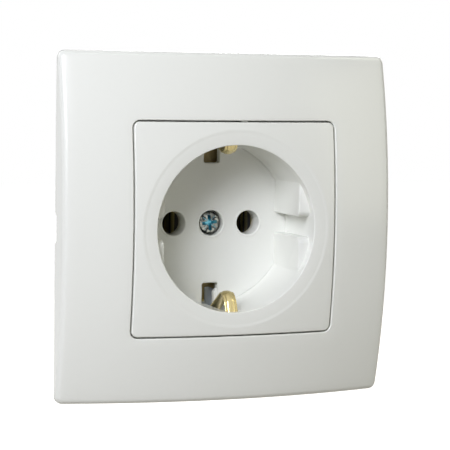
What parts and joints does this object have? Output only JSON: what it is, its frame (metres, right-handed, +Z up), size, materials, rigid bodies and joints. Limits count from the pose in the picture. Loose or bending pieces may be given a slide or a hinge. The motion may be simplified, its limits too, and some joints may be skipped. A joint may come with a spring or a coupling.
{
  "type": "type f wall socket",
  "caption": "Single flush wall socket, type F: pillow-shaped square cover frame, centre plate with a round plug recess, side earth clips, and a round base behind.",
  "frame": {"origin": "centre of the wall plane behind the cover frame, midway between the two box screws", "axes": "+X to the right as seen from the room, +Y into the wall, +Z up"},
  "size_m": [0.0816, 0.0415, 0.0816],
  "materials": {
    "cover_plastic": "smooth moulded, slightly glossy",
    "plate_plastic": "smooth moulded, slightly glossy",
    "base_plastic": "moulded, matt",
    "rear_plastic": "moulded, matt",
    "galvanised_steel": "galvanised sheet",
    "zinc_screw": "blue passivated zinc",
    "contact_brass": "rolled strip",
    "spring_steel": "rolled strip"
  },
  "bodies": {
    "root": {"cover_frame": "cover_plastic", "centre_plate": "plate_plastic", "centre_screw": "zinc_screw", "mounting_plate": "galvanised_steel", "socket_base": "base_plastic", "rear_cover": "rear_plastic", "rear_cover_screw_left": "zinc_screw", "rear_cover_screw_right": "zinc_screw", "live_contact": "contact_brass", "neutral_contact": "contact_brass", "live_contact_spring": "spring_steel", "neutral_contact_spring": "spring_steel", "live_terminal": "galvanised_steel", "neutral_terminal": "galvanised_steel", "live_terminal_screw": "zinc_screw", "neutral_terminal_screw": "zinc_screw", "earth_strap": "contact_brass", "upper_clip_spring": "spring_steel", "lower_clip_spring": "spring_steel", "earth_terminal": "galvanised_steel", "earth_terminal_screw": "zinc_screw"}
  },
  "joints": []
}
